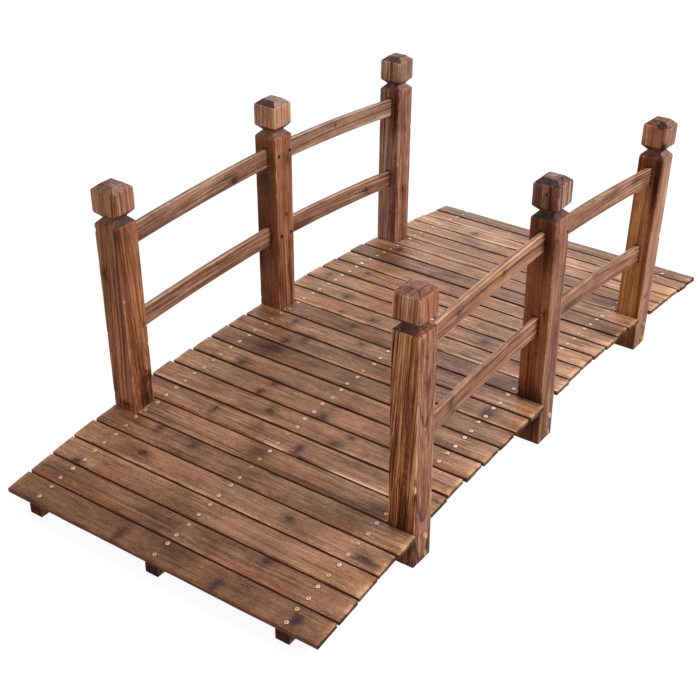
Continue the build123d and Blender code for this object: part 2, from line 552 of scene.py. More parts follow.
def brushed_grain(mix, grain, wood, look):
    """The fibres, brushed lines and stains of the wood, and the torch's uneven passes."""
    groove = look["groove"]
    run = look["groove_run"]
    furrow = mix.noise(wood, (groove, groove, run), 2, 0.6)
    ridge = mix.noise(wood, (0.87 * groove, 0.87 * groove, run), 2, 0.6)
    return {
        "fibre": mix.noise(wood, (900, 900, 36), 3, 0.75),
        "line": mix.noise(wood, (400, 400, 4), 2, 0.6),
        "furrow": mix.spread(furrow, 0.53, 0.66),
        "ridge": mix.spread(ridge, 0.46, 0.34),
        "streak": mix.noise(wood, (110, 110, 4), 3, 0.6),
        "band": mix.noise(wood, look["band_stretch"], 3, 0.6),
        "mottle": mix.noise(grain, (26, 26, 14), 4, 0.6),
        "torch": mix.spread(mix.noise(grain, (10, 10, 7), 4, 0.6), 0.46, 0.70),
        "crack": mix.spread(mix.noise(wood, (260, 260, 9), 2, 0.6), 0.66, 0.74),
        "grit": mix.noise(grain, (360, 360, 210), 3, 0.7),
        "smudge": mix.noise(grain, (130, 130, 85), 3, 0.65),
    }


def how_dark(mix, grain, brushed, late, nearest, burnt_and_shaded, look):
    """The wood's darkness, from 0 for bare wood to 1 for char."""
    arris = mix.read("arris")
    figure = mix.read("figure")
    worn = mix.noise(grain, (90, 90, 26), 3, 0.6)
    rubbed = mix.times(mix.spread(arris, 0.0, look["rub_wide"], 1.0, 0.0),
                       mix.spread(worn, look["rub_from"], look["rub_from"] + 0.18))
    darkness = mix.sum(
        look["depth"],
        mix.read("tone"),
        mix.times(late, look["ring_dark"], figure),
        mix.swing(brushed["fibre"], look["fibre"]),
        mix.times(mix.swing(brushed["line"], look["line"]), figure),
        mix.times(brushed["furrow"], look["furrow"], figure),
        mix.times(brushed["ridge"], -look["ridge"], figure),
        # Darker near the arrises: scorching at the edges, and on the deck also painted shade of the seams
        mix.times(mix.spread(arris, 0.001, 0.006, 1.0, 0.0), look["edge"]),
        mix.times(mix.swing(brushed["streak"], look["streak"]), figure),
        *[mix.swing(brushed[stain], look[stain]) for stain in ("grit", "smudge", "mottle")],
        mix.times(brushed["torch"], look["torch"]),
        mix.times(brushed["crack"], look["crack"]),
        mix.times(glow(mix, nearest, MARK_REACH), look["halo"]),
        mix.times(mix.swing(brushed["band"], look["band"]), figure),
        burnt_and_shaded,
        mix.times(mix.read("end_grain"), look["end_dark"]),
    )
    darkness = mix.math("SUBTRACT", darkness, mix.times(rubbed, look["rubbed"]))
    return mix.math("SUBTRACT", darkness, mix.times(mix.read("fresh"), 0.5))


def wood_colour(mix, grain, wood, darkness, nearest, burnt_and_shaded, stops, look):
    """The wood's colour by its darkness, then raw, charred and sooty where it is so; the soot colour also
    paints the shade inside the mortises, and the char colour part of the shade at some post feet.
    """
    colour = mix.ramp(darkness, stops)
    # Pale where the wood is rubbed and chipped fresh, and painted highlights on arrises that face the light
    colour = mix.mix(mix.spread(mix.read("fresh"), 0.5, 1.1), colour, FRESH_WOOD_AND_HIGHLIGHT)
    warmth = mix.noise(wood, look["hue_stretch"], 3, 0.55)
    warm = mix.times(mix.spread(warmth, 0.50, 0.68), look["warm"])
    cool = mix.times(mix.spread(warmth, 0.50, 0.34), look["cool"])
    colour = mix.mix(warm, colour, WARM_TINT, "MULTIPLY")
    colour = mix.mix(cool, colour, COOL_TINT, "MULTIPLY")
    light = mix.spread(darkness, 0.3, 0.8, 1.0, 0.1)
    full = mix.math("SUBTRACT", 1.0, mix.times(mix.read("bleached"), light))
    colour = mix.node("ShaderNodeHueSaturation", {"Saturation": full, "Color": colour}).outputs[0]
    raw = mix.ramp(mix.noise(grain, (120, 300, 16), 3, 0.65), RAW_SAWN)
    colour = mix.mix(mix.read("rough_sawn"), colour, raw)
    char = mix.ramp(mix.noise(grain, (240, 240, 110), 3, 0.6), CHAR)
    core = mix.spread(nearest, 0.45, 1.1, 1.0, 0.0)
    colour = mix.mix(mix.times(core, look["core"]), colour, char)
    colour = mix.mix(mix.spread(burnt_and_shaded, 0.45, 0.95, 0.0, 0.9), colour, char)
    # Sooty patches, which inside the mortises are painted shade
    soot_and_shade = mix.ramp(mix.noise(grain, (150, 150, 90), 3, 0.65), SOOT_AND_SHADE)
    patch = mix.noise(grain, (62, 62, 46), 4, 0.6)
    patch = mix.sum(patch, mix.math("SUBTRACT", mix.read("charred"), 0.5))
    return mix.mix(mix.spread(patch, 0.40, 0.60, 0.0, 0.92), colour, soot_and_shade)


def torched_wood(name, stops, look):
    """Softwood scorched with a torch and brushed: rings, fibres, knots, scorches."""
    mix = Recipe(name)
    grain = mix.read("grain", "Vector")
    # The log isn't straight: slow bends and small shakes along its length
    wood = mix.vector("ADD", grain, wobble(mix, grain, (6, 6, 2.2), look["bend"]))
    wood = mix.vector("ADD", wood, wobble(mix, grain, (50, 50, 9), look["shake"]))
    swell, nearest, burnt_and_shaded = knots_burns_and_shade(mix, grain)
    late = late_wood(mix, grain, wood, swell, look)
    brushed = brushed_grain(mix, grain, wood, look)
    darkness = how_dark(mix, grain, brushed, late, nearest, burnt_and_shaded, look)
    relief = mix.sum(mix.times(late, 0.45), mix.times(brushed["fibre"], 0.8),
                     mix.times(brushed["furrow"], -0.5), mix.times(brushed["ridge"], 0.5),
                     mix.times(brushed["crack"], -0.8))
    coarse = mix.math("MAXIMUM", mix.read("end_grain"), mix.read("rough_sawn"))
    sheen = mix.sum(look["rough"], mix.swing(brushed["mottle"], 0.12), mix.times(burnt_and_shaded, 0.15),
                    mix.times(brushed["furrow"], 0.15), mix.times(coarse, 0.35))
    return mix.finish(Base_Color=wood_colour(mix, grain, wood, darkness, nearest, burnt_and_shaded, stops, look),
                      Roughness=sheen, Specular_IOR_Level=look["gloss"],
                      Normal=mix.bump(relief, look["relief"], RELIEF))


def plated_steel():
    """Zinc-plated screws and bolts, some yellow, dulled in handling."""
    mix = Recipe("plated_steel")
    place = mix.node("ShaderNodeTexCoord").outputs["Object"]
    blotch = mix.noise(place, (300, 300, 300), 2, 0.6)
    plating = mix.ramp(mix.read("plating"), PLATING_STOPS)
    colour = mix.mix(mix.spread(blotch, 0.3, 0.7, 0.0, 0.4), plating, DULL_TINT, "MULTIPLY")
    return mix.finish(Base_Color=colour, Metallic=0.15, Roughness=mix.spread(blotch, 0.2, 0.8, 0.3, 0.5),
                      Normal=mix.bump(blotch, 0.2, 0.0002))


def dark_recess():
    """The countersink about a screw, dark partly as its hole's edge and partly as painted shade, and the
    bottom of its recess, painted shade.
    """
    mix = Recipe("dark_recess")
    place = mix.node("ShaderNodeTexCoord").outputs["Object"]
    shade_speckle = mix.noise(place, (900, 900, 900), 2, 0.6)
    return mix.finish(Base_Color=mix.ramp(shade_speckle, RECESS_SHADE_STOPS), Roughness=0.8,
                      Normal=mix.bump(shade_speckle, 0.3, 0.0002))


def shades(*colours):
    """Stops for a ramp, evenly spaced from pale to dark."""
    return [(n / (len(colours) - 1), paint(*colour)) for n, colour in enumerate(colours)]


DECK_STOPS = shades((226, 180, 142), (182, 134, 100), (136, 94, 67), (87, 54, 35), (38, 25, 18))
POST_STOPS = shades((228, 174, 128), (184, 122, 80), (136, 80, 51), (84, 43, 23), (36, 20, 12))
RAIL_STOPS = shades((222, 174, 138), (174, 124, 94), (124, 82, 60), (72, 46, 34), (30, 23, 21))
DECK_LOOK = {
    "bend": 0.005, "shake": 0.0009, "ring_gap": 0.0034, "late_from": 0.25, "swell": 1.6,
    "depth": 0.42, "ring_dark": 0.16, "fibre": 0.28, "line": 0.13, "furrow": 0.14, "ridge": 0.12,
    "streak": 0.17, "band": 0.11, "band_stretch": (95, 95, 3), "hue_stretch": (17, 17, 4), "groove": 470,
    "groove_run": 8, "mottle": 0.17, "torch": 0.12, "crack": 0.24, "grit": 0.22,
    "smudge": 0.17, "end_dark": 0.34, "edge": 0.05, "rubbed": 0.30, "rub_wide": 0.0022,
    "rub_from": 0.44, "halo": 0.28, "core": 0.88, "warm": 0.6, "cool": 0.1, "rough": 0.50,
    "gloss": 0.22, "relief": 0.8,
}
POST_LOOK = {
    "bend": 0.006, "shake": 0.0010, "ring_gap": 0.0054, "late_from": 0.60, "swell": 0.9,
    "depth": 0.37, "ring_dark": 0.32, "fibre": 0.17, "line": 0.12, "furrow": 0.15, "ridge": 0.14,
    "streak": 0.28, "band": 0.32, "band_stretch": (150, 150, 2), "hue_stretch": (110, 110, 3), "groove": 220,
    "groove_run": 4, "mottle": 0.18, "torch": 0.10, "crack": 0.14, "grit": 0.12,
    "smudge": 0.10, "end_dark": 0.15, "edge": 0.0, "rubbed": 0.27, "rub_wide": 0.0026,
    "rub_from": 0.40, "halo": 0.18, "core": 0.62, "warm": 0.5, "cool": 0.0, "rough": 0.54,
    "gloss": 0.14, "relief": 0.7,
}
RAIL_LOOK = {
    **POST_LOOK, "bend": 0.003, "ring_gap": 0.0034, "ring_dark": 0.20, "depth": 0.36,
    "line": 0.20, "furrow": 0.20, "ridge": 0.20, "streak": 0.22, "band": 0.18,
    "torch": 0.06, "rubbed": 0.34, "rub_wide": 0.0024, "rub_from": 0.34, "warm": 0.35,
    "core": 0.75, "halo": 0.22,
}
STRINGER_LOOK = {**POST_LOOK, "ring_gap": 0.0050, "depth": 0.50, "rubbed": 0.15}

deck_wood = torched_wood("deck_wood", DECK_STOPS, DECK_LOOK)
post_wood = torched_wood("post_wood", POST_STOPS, POST_LOOK)
rail_wood = torched_wood("rail_wood", RAIL_STOPS, RAIL_LOOK)
stringer_wood = torched_wood("stringer_wood", POST_STOPS, STRINGER_LOOK)
steel = plated_steel()
recess = dark_recess()


# ---- deck

# How much darker each board is than the next
BOARD_TONE = {
    1: 0.15, 2: 0.07, 3: -0.06, 4: -0.04, 5: 0.03, 6: -0.03, 7: 0.04, 8: -0.04, 9: -0.01,
    10: 0.0, 11: 0.09, 12: 0.06, 13: -0.04, 14: 0.03, 15: -0.04, 16: -0.04, 17: -0.09,
    18: -0.08, 19: -0.03, 20: 0.10, 21: -0.07, 22: -0.03, 23: 0.0, 24: -0.11, 25: -0.25,
    26: -0.02, 27: 0.12,
}
# How strongly each board's rings and brushed lines show
BOARD_FIGURE = {
    1: 0.6, 2: 1.0, 3: 1.1, 4: 0.8, 5: 1.3, 6: 1.3, 7: 1.5, 8: 1.1, 9: 1.0, 10: 1.3, 11: 1.1,
    12: 1.2, 13: 1.4, 14: 1.5, 15: 1.6, 16: 1.3, 17: 1.7, 18: 1.8, 19: 1.6, 20: 1.6, 21: 1.6,
    22: 1.7, 23: 1.8, 24: 1.8, 25: 2.0, 26: 2.0, 27: 1.8,
}
# How pale each board's near arris is rubbed, with a painted highlight where it faces the light, and how much
# wider, in mm, the gap beyond it is
RUBBED_AND_HIGHLIT_BOARDS = {
    4: 0.5, 7: 1.0, 8: 0.5, 12: 0.5, 15: 0.8, 16: 0.6, 19: 0.7, 21: 0.6, 22: 0.7, 25: 0.8, 26: 0.9,
}
WIDE_GAPS = {
    2: 0.6, 7: 0.8, 8: 0.2, 9: 0.6, 11: 0.3, 12: 0.6, 13: 1.5, 14: 0.4, 15: 0.2, 16: 0.4, 17: 0.2,
    19: 1.5, 21: 0.5, 26: 1.6,
}
FIRST_SHADED_GAP = 10       # before it, the boards' sides kept the saw's red; from it on, they are darkened as painted shade in the gaps
# The further boards' sides are darkened as painted shade in the gaps
SHADED_GAP_SIDE = (0.42, 1.0, 0.0, 0.0)
END_RUB = 0.6               # how pale the arrises at the boards' ends are rubbed
CLOSE_JOINTS = 6            # up to here the gaps have only this share
CLOSE_SHARE = 0.4
OPEN_JOINTS = 18            # from here on each side of a gap is this much wider
OPEN_EXTRA = 0.0005
BOARD_MARK_SINK = 0.03      # how deep a knot or scorch goes
PALE_END = (26, 18, -0.13)  # the torch hardly touched one end of each board
# Knots and scorches by board: along from the middle, across, and half sizes, in mm, and for
# a scorch how dark it is
BOARD_KNOTS = {
    1: [(88, -8, 5, 11), (-130, -14, 5, 12), (-285, -2, 4, 6)],
    2: [(-170, 20, 6, 8)],
    3: [(287, -20, 8, 6)],
    4: [(197, 2, 14, 8), (-140, 6, 8, 6), (-300, -5, 12, 6)],
    5: [(217, 22, 5, 9), (130, 12, 5, 4)],
    7: [(167, 8, 4, 11), (-42, -8, 6, 16), (-60, -25, 10, 4)],
    8: [(75, 0, 9, 8), (-88, -16, 8, 8), (-105, 14, 8, 6)],
    9: [(130, -18, 6, 8), (122, 20, 7, 8), (-22, -16, 8, 9)],
    10: [(225, -14, 8, 8)],
    11: [(200, 10, 12, 10)],
    12: [(170, 15, 6, 9), (200, -12, 6, 9), (-275, 0, 7, 14)],
    13: [(232, 8, 7, 12), (65, 10, 8, 5)],
    14: [(-10, -12, 7, 7), (120, 6, 5, 6)],
    15: [(177, -14, 6, 5), (102, -6, 8, 8)],
    16: [(208, -8, 6, 9), (-137, 0, 6, 9)],
    17: [(305, 3, 8, 7)],
    18: [(237, 5, 6, 6)],
    20: [(123, -25, 5, 8)],
    21: [(258, -2, 12, 14)],
    25: [(180, 0, 6, 10)],
}
BOARD_SCORCHES = {
    1: [(-15, 16, 40, 16, 0.10), (-288, -4, 9, 10, 0.2)],
    2: [(35, 2, 36, 24, 0.10), (285, 8, 50, 22, 0.12)],
    3: [(20, -16, 34, 22, 0.12)],
    4: [(-320, -8, 30, 7, 0.28)],
    6: [(18, 0, 30, 22, 0.22), (-260, -8, 24, 16, 0.2), (260, 10, 40, 20, 0.10)],
    7: [(62, 8, 22, 12, 0.12)],
    8: [(-30, 6, 40, 20, 0.06)],
    10: [(225, -5, 20, 16, 0.2)],
    11: [(225, 0, 50, 30, 0.16), (0, 4, 30, 22, 0.14)],
    12: [(-275, -6, 14, 24, 0.18)],
    13: [(310, 0, 36, 22, 0.2)],
    14: [(150, 0, 70, 30, 0.12), (-120, 10, 60, 22, 0.14)],
    20: [(250, 0, 60, 30, 0.14), (90, 0, 40, 20, 0.14)],
    24: [(150, 0, 50, 20, 0.1)],
}
TOUCHING = 1e-5
# What is planed off a board's sides, to leave the gaps
NEAR_PLANED = 0.0009
FAR_PLANED = 0.0005
PLANED_SPREAD = 0.0005
PLANED_BY_A_POST = 0.0002
SHORTENED = 0.0014            # off each end of a board that passes between posts
SAW_WANDER = 0.0004
SAW_RIPPLE = 0.0003
CUPPING = 0.0003
ARRIS_WORN = 0.0018           # how far from an arris a board is rubbed pale
END_WORN = 0.004              # how far in from its ends a board is chipped
END_CHIP = 0.0018


def deck_board(number):
    """One board: long arrises eased, ends a little ragged, laid square to the arch."""
    node = f"deck_board_{number:02d}"
    low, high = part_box(node)
    luck = random.Random(number)
    half_wide = BOARD_WIDE / 2
    half_thick = BOARD_THICK / 2
    piece = block(node + "_worn", (-half_wide, low.y, -half_thick), (half_wide, high.y, half_thick))
    pick(piece, "EDGE", along(1))
    bpy.ops.mesh.subdivide(number_cuts=BOARD_CUTS["along"])
    pick(piece, "EDGE", along(0))
    bpy.ops.mesh.subdivide(number_cuts=BOARD_CUTS["across"])

    def arris(edge):
        middle = (edge.verts[0].co + edge.verts[1].co) / 2
        on_side = abs(abs(middle.x) - half_wide) < TOUCHING
        on_end = min(abs(middle.y - low.y), abs(middle.y - high.y)) < TOUCHING
        if on_side and on_end:
            return along(2)(edge)
        return on_side and along(1)(edge) or on_end and along(0)(edge)

    pick(piece, "EDGE", arris)
    ease(BOARD_EASE)
    finish_mesh()
    middle = (0.0, (low.y + high.y) / 2, 0.0)
    log = {
        "heart": (either_way(luck, 0.03, 0.12), either_way(luck, 0.02, 0.06)),
        "lean": (luck.uniform(-0.02, 0.02), luck.uniform(-0.02, 0.02)),
        "tone": BOARD_TONE[number],
        "figure": BOARD_FIGURE[number],
        "sawn": 0.75 if number == 1 else 1.0 if number < FIRST_SHADED_GAP else 0.2,
    }

    def facet(face):
        """From the first shaded gap on, the sides are darker: painted shade in the gaps between the boards.
        """
        on_side = abs(face.normal.x) > 0.6 and number >= FIRST_SHADED_GAP
        return SHADED_GAP_SIDE if on_side else PLAIN

    def mark(along_board, across, half_along, half_across, *depth):
        place = (across * MM, half_thick, along_board * MM - middle[1])
        return place, (half_across * MM, BOARD_MARK_SINK, half_along * MM), *depth

    scorches = [mark(*s) for s in BOARD_SCORCHES.get(number, ())]
    scorches.append(mark(luck.uniform(-345, -325), luck.uniform(-12, 12), *PALE_END))
    knots = [mark(*k) for k in BOARD_KNOTS.get(number, ())]
    arrises = box_arris(half_wide, half_thick, (high.y - low.y) / 2)
    lay_grain(piece, (0, 2, 1), middle, arrises, facet, log, knots, scorches)
    wear_board(piece, number, low.y, high.y, luck)
    seat(piece, on_arch(R_DECK - half_thick, number))
    piece.data.materials.append(deck_wood)
    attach(piece, "root")
    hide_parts(node)


def board_slims(number, luck):
    """How much a board's near and far sides are planed off."""
    slims = [NEAR_PLANED + luck.uniform(0, PLANED_SPREAD), FAR_PLANED + WIDE_GAPS.get(number, 0.0) * MM]
    if number <= CLOSE_JOINTS:
        slims = [slim * CLOSE_SHARE for slim in slims]
    if number >= OPEN_JOINTS:
        slims = [slim + OPEN_EXTRA for slim in slims]
    if number - 1 in SHORT_BOARDS:
        slims[0] = PLANED_BY_A_POST
    if number + 1 in SHORT_BOARDS:
        slims[1] = PLANED_BY_A_POST
    return slims


def wear_board(piece, number, low_y, high_y, luck):
    """Slims the board to its gap, with saw wander along the sides and chips at the ends."""
    start = Vector((luck.uniform(0, 50), luck.uniform(0, 50), 0))
    slims = board_slims(number, luck)
    end_slim = SHORTENED if number in SHORT_BOARDS else 0.0
    rubbed = RUBBED_AND_HIGHLIT_BOARDS.get(number, 0.0)
    fresh = []
    for vertex in piece.data.vertices:
        co = vertex.co
        side = 1 if co.x > 0 else 0
        share = abs(co.x) / (BOARD_WIDE / 2)
        wander = SAW_WANDER * noise.noise(start + Vector((side * 9, co.y * 14, 0)))
        wander += SAW_RIPPLE * noise.noise(start + Vector((side * 9, co.y * 70, co.z * 90)))
        near_top = co.z > BOARD_THICK / 2 - ARRIS_WORN
        # The near top arris is paler: rubbed wood and a painted highlight where it faces the light
        on_arris = share > 0.93 and not side and near_top
        patchy = noise.noise(start + Vector((3, co.y * 9, 2))) + 0.25
        end_gap = min(co.y - low_y, high_y - co.y)
        on_end = end_gap < ARRIS_WORN and near_top
        worn_end = noise.noise(start + Vector((co.x * 45, co.y, 7))) + 0.35
        fresh.append(max(rubbed * on_arris * clamp(2.4 * patchy), END_RUB * on_end * clamp(2.0 * worn_end)))
        co.x -= (slims[side] + wander) * share * (1 if side else -1)
        if end_gap < END_WORN:
            bite = END_CHIP * (0.5 + 0.5 * noise.noise(start + Vector((co.x * 60, side, co.z * 200))))
            bite += end_slim
            co.y += bite if co.y - low_y < END_WORN else -bite
        co.z += CUPPING * noise.noise(start + Vector((co.x * 30, co.y * 20, 5)))
    write(piece.data, "fresh", "FLOAT", fresh)


for board in range(1, BOARD_COUNT + 1):
    deck_board(board)


# ---- posts


def pocket(level, side, bay, place):
    """A block that cuts one rail's mortise."""
    inward = 1 if place == BAYS[bay][0] else -1
    face = post_x(level, side, place) + inward * POST_SIDE / 2
    ends = sorted((face - inward * MORTISE_DEPTH, face + inward * POCKET_SPARE))
    floor_radius = R_DECK + RAIL_TOPS[level] - RAIL_TALL
    head = RAIL_TALL + MORTISE_HEAD_GAP
    half = RAIL_THICK / 2 + MORTISE_SIDE_GAP
    tool = block(f"pocket_{level}_{bay}", (ends[0], -half, 0), (ends[1], half, head))
    bpy.ops.object.mode_set(mode="OBJECT")
    bend_to_arch(tool, floor_radius)
    seat(tool, lean_over(side, place).inverted() @ hang(level, side, bay))
    return tool


POCKET_SPARE = 0.004        # how far a mortise's cutter stands out of the post
POST_MARK_SINK = 0.009
KEPT_ARRIS = 0.0019         # how much less a cap's or a level arris is rubbed than an upright one
POST_WORN = 0.006           # how far from its arrises a post is bruised
BRUISE = 0.0004
CHIP = 0.0030
HAND_PLANED = 0.00015       # how far from flat its faces are
SHOULDER_SLACK = 0.0005
EDGE_SLACK = 0.0004
MORTISE_WALL = 0.0012       # a face further in than this is inside a mortise
CLEAR_OF_ARRIS = 0.001
NAIL_DEPTH = 0.010
NAIL_TAPER = 0.8
# Each post: its log, then knots and scorches on the faces that show them, in mm as
# (face, across from the middle, height above the deck, half size across, half size up),
# the scorches at some feet being partly painted shade, nail holes as (across, height, share
# of the usual size), and pale chips on its front arris, partly painted highlight, as
# (height, half length, how pale)
POSTS = {
    ("left", "near"): {
        "log": {"heart": (0.028, 0.060), "lean": (0.010, 0.030), "tone": 0.04, "figure": 0.9},
        "knots": [("-X", 15, 279, 6, 9), ("-Y", 20, 52, 6, 7), ("-Y", 25, 156, 3, 5)],
        # The second scorch, a thin band where the post meets the deck, is painted shade
        "scorches": [("-X", 24, 32, 9, 30, 0.5), ("-X", -4, 3, 22, 7, 0.4),
                     ("-Y", 0, 240, 26, 200, -0.06), ("-Y", 0, 372, 40, 30, 0.14),
                     ("-Y", 0, 8, 40, 34, 0.22)],
        "chips_and_highlights": [(210, 50, 0.5), (300, 40, 0.4)],
    },
    ("left", "middle"): {
        "log": {"heart": (0.060, -0.020), "lean": (0.020, 0.010), "tone": 0.02, "figure": 0.9},
        "knots": [("-X", 4, 292, 5, 12), ("-Y", 11, 330, 6, 8), ("-Y", 4, 79, 2.5, 12),
                  ("-Y", 2, 206, 4, 3)],
        "scorches": [("-X", 2, 180, 30, 240, 0.24), ("-X", 22, 98, 8, 30, 0.2)],
        "nails": [(-16, 339, 1.0), (19, 343, 1.0), (-14, 161, 1.1), (18, 160, 1.0)],
    },
    ("left", "far"): {
        "log": {"heart": (0.012, 0.090), "lean": (0.0, 0.02), "tone": 0.02, "figure": 0.9},
        "knots": [("-Y", 2, 283, 3, 5), ("-Y", 0, 135, 5, 4)],
        "scorches": [("-X", -16, 330, 10, 90, 0.45), ("-X", -16, 90, 14, 120, 0.3),
                     ("-X", 6, 8, 30, 34, -0.14)],
    },
    ("right", "near"): {
        "log": {"heart": (0.002, 0.050), "lean": (0.006, 0.060), "tone": 0.02, "figure": 1.3},
        "knots": [("-X", 6, 90, 2.5, 12)],
        "scorches": [("-Y", 4, 276, 6, 14, 0.2), ("-Y", 6, 205, 7, 10, 0.18),
                     ("-X", -5, 130, 3.5, 150, 0.34), ("-X", 10, 300, 40, 90, 0.14),
                     # The last scorch, on the foot under the deck, is scorch and painted shade from the deck
                     # above
                     ("-X", -16, 170, 8, 170, -0.10), ("-X", 0, -15, 42, 70, 0.55)],
        "chips_and_highlights": [(88, 11, 2.0), (138, 50, 0.9), (20, 60, 0.6), (240, 60, 0.5)],
    },
    ("right", "middle"): {
        "log": {"heart": (0.004, 0.080), "lean": (0.004, 0.0), "tone": 0.08, "figure": 1.0},
        "knots": [("-X", -16, 190, 5, 8)],
        "scorches": [("-X", -2, 428, 2.5, 2.5, 1.0), ("-X", 0, 352, 40, 60, 0.26),
                     # This scorch, on the foot under the deck, is scorch and painted shade from the deck
                     # above
                     ("-X", 0, -25, 42, 60, 0.5)],
        "nails": [(-19, 340, 0.6), (21, 343, 0.8), (-20, 177, 0.5)],
    },
    ("right", "far"): {
        "log": {"heart": (-0.010, 0.075), "lean": (0.0, 0.015), "tone": 0.04, "figure": 0.9},
        "knots": [("-Y", -6, 62, 6, 4)],
        "scorches": [("-X", -12, 447, 7, 6, 1.0), ("-X", -24, 404, 6, 9, 0.7),
                     ("-X", -22, 315, 9, 60, 0.5), ("-X", 0, 365, 40, 34, 0.38),
                     # The last scorch, on the foot under the deck, is scorch and painted shade from the deck
                     # above
                     ("-Y", 0, 372, 40, 30, 0.12), ("-X", 0, -62, 40, 34, 0.35)],
    },
}
# How the faces of each post differ: darker by, rings stronger by, how charred, how bleached; the faces
# inside a mortise are painted shade
POST_FACETS = {
    "flat": (-0.03, 0.5, 0.24, 0.55), "bevel": (0.08, 0.6, 0.36, 0.28), "cap": (-0.03, 1.0, 0.0, 0.06),
    # inside: the faces within a mortise, darkened and made sooty as painted shade
    "under": (0.16, 0.5, 0.2, 0.1), "neck": (0.16, 0.6, 0.5, 0.25), "inside": (0.5, 0.5, 0.85, 0.0),
    "left near": {
        "-X": (-0.06, 1.3, 0.0, 0.0), "-Y": (-0.07, 1.1, 0.0, 0.04), "flat": (-0.04, 0.4, 0.14, 0.55),
        "bevel -X": (0.04, 0.4, 0.2, 0.4), "bevel -Y": (0.03, 0.4, 0.12, 0.38),
        "cap -X": (-0.12, 1.0, 0.0, 0.06), "cap -Y": (-0.04, 1.0, 0.0, 0.16),
        "neck -X": (0.08, 0.7, 0.12, 0.15), "neck -Y": (0.17, 0.6, 0.64, 0.2),
    },
    "left middle": {
        "-X": (0.0, 0.4, 0.0, -0.02), "-Y": (0.01, 1.4, 0.0, 0.05), "flat": (-0.12, 0.6, 0.22, 0.65),
        "bevel -X": (0.10, 0.5, 0.68, 0.3), "bevel -Y": (-0.02, 0.8, 0.12, 0.45),
        "cap -X": (-0.22, 1.2, 0.0, 0.08), "cap -Y": (-0.22, 1.2, 0.0, 0.18),
        "neck -X": (0.04, 0.5, 0.3, 0.25), "neck -Y": (0.16, 0.6, 0.36, 0.4),
    },
    "left far": {
        "-X": (-0.08, 1.2, 0.0, 0.2), "-Y": (0.02, 1.2, 0.0, 0.16), "flat": (-0.03, 0.5, 0.24, 0.55),
        "bevel -X": (0.10, 0.6, 0.58, 0.3), "bevel -Y": (0.05, 0.5, 0.4, 0.4),
        "cap -X": (-0.22, 1.5, 0.0, 0.2), "cap -Y": (0.0, 1.2, 0.0, 0.38),
        "neck -X": (0.0, 0.5, 0.5, 0.3), "neck -Y": (0.05, 0.5, 0.34, 0.45),
    },
    "right near": {
        "-X": (-0.20, 2.0, 0.0, -0.03), "-Y": (0.0, 0.85, 0.0, 0.09), "flat": (-0.06, 0.35, 0.26, 0.5),
        "bevel -X": (0.05, 0.4, 0.34, 0.3), "bevel -Y": (0.16, 0.4, 0.3, 0.26),
        "cap -X": (-0.14, 1.0, 0.0, 0.03), "cap -Y": (-0.05, 0.8, 0.0, 0.06),
        "neck -X": (0.20, 0.6, 0.5, 0.2), "neck -Y": (0.25, 0.5, 0.3, 0.2),
    },
    "right middle": {
        "-X": (-0.05, 0.85, 0.0, -0.03), "-Y": (-0.02, 0.6, 0.0, 0.17), "flat": (-0.10, 0.6, 0.25, 0.65),
        "bevel -X": (0.24, 0.5, 0.88, 0.3), "bevel -Y": (0.17, 0.7, 0.5, 0.6),
        "cap -X": (0.02, 1.0, 0.0, 0.2), "cap -Y": (0.03, 1.2, 0.1, 0.28),
        "neck -X": (0.25, 0.5, 0.9, 0.3), "neck -Y": (0.18, 0.5, 0.58, 0.4),
    },
    "right far": {
        "-X": (-0.17, 1.0, 0.0, -0.04), "-Y": (-0.09, 0.7, 0.0, 0.15), "flat": (-0.04, 0.6, 0.2, 0.5),
        "bevel -X": (0.12, 0.6, 0.45, 0.4), "bevel -Y": (0.05, 0.6, 0.36, 0.5),
        "cap -X": (-0.20, 1.1, 0.0, 0.06), "cap -Y": (0.05, 0.9, 0.0, 0.18),
        "neck -X": (0.0, 0.5, 0.44, 0.25), "neck -Y": (-0.04, 0.5, 0.24, 0.4),
    },
}


def post_facet(side, place, x, y, top):
    """The rule for how one face of a post differs from the next."""
    own = POST_FACETS[f"{side} {place}"]
    shaft_top = top - SHOULDER_DROP

    def rule(face):
        across, along_y, up = face.normal
        centre = face.center
        looks = "-X" if across < -abs(along_y) else "-Y" if along_y < -abs(across) else "away"
        if centre.z < shaft_top + SHOULDER_SLACK:
            # Faces deep inside a mortise take painted shade
            deep = max(abs(centre.x - x), abs(centre.y - y)) < POST_SIDE / 2 - MORTISE_WALL
            return POST_FACETS["inside"] if deep and centre.z > 0.01 else own.get(looks, PLAIN)
        if centre.z > top - CAP_EDGE_DROP + EDGE_SLACK:
            zone = "flat" if facing_up(face) else "bevel"
        elif centre.z > top - CAP_FOOT_DROP - EDGE_SLACK:
            zone = "cap"
        else:
            zone = "neck" if up > 0.2 else "under"
        return own.get(zone if zone == "flat" else f"{zone} {looks}", POST_FACETS[zone])
    return rule


def on_post(face, across, height, half_across, half_tall, *depth, top):
    """A mark given on a post's face, as a place and size from the post's middle."""
    z = top - CAP_HEIGHT + height * MM - top / 2
    if face == "-X":
        return (-POST_SIDE / 2, across * MM, z), (POST_MARK_SINK, half_across * MM, half_tall * MM), *depth
    return (across * MM, -POST_SIDE / 2, z), (half_across * MM, POST_MARK_SINK, half_tall * MM), *depth


def post_arris(top):
    """The rule for how far a point on a post is from the nearest arris."""
    edges = [top / 2 - drop for drop in (SHOULDER_DROP, CAP_FOOT_DROP, CAP_EDGE_DROP, 0)]

    def rule(place):
        x, y, z = place
        outside = max(abs(x), abs(y))
        upright = outside - min(abs(x), abs(y))
        if z > top / 2 - CAP_EDGE_DROP + CLEAR_OF_ARRIS:
            upright += KEPT_ARRIS
        level = min(abs(z - edge) for edge in edges) if outside > CAP_FLAT / 2 - CLEAR_OF_ARRIS else 1
        return min(upright, level + KEPT_ARRIS)
    return rule


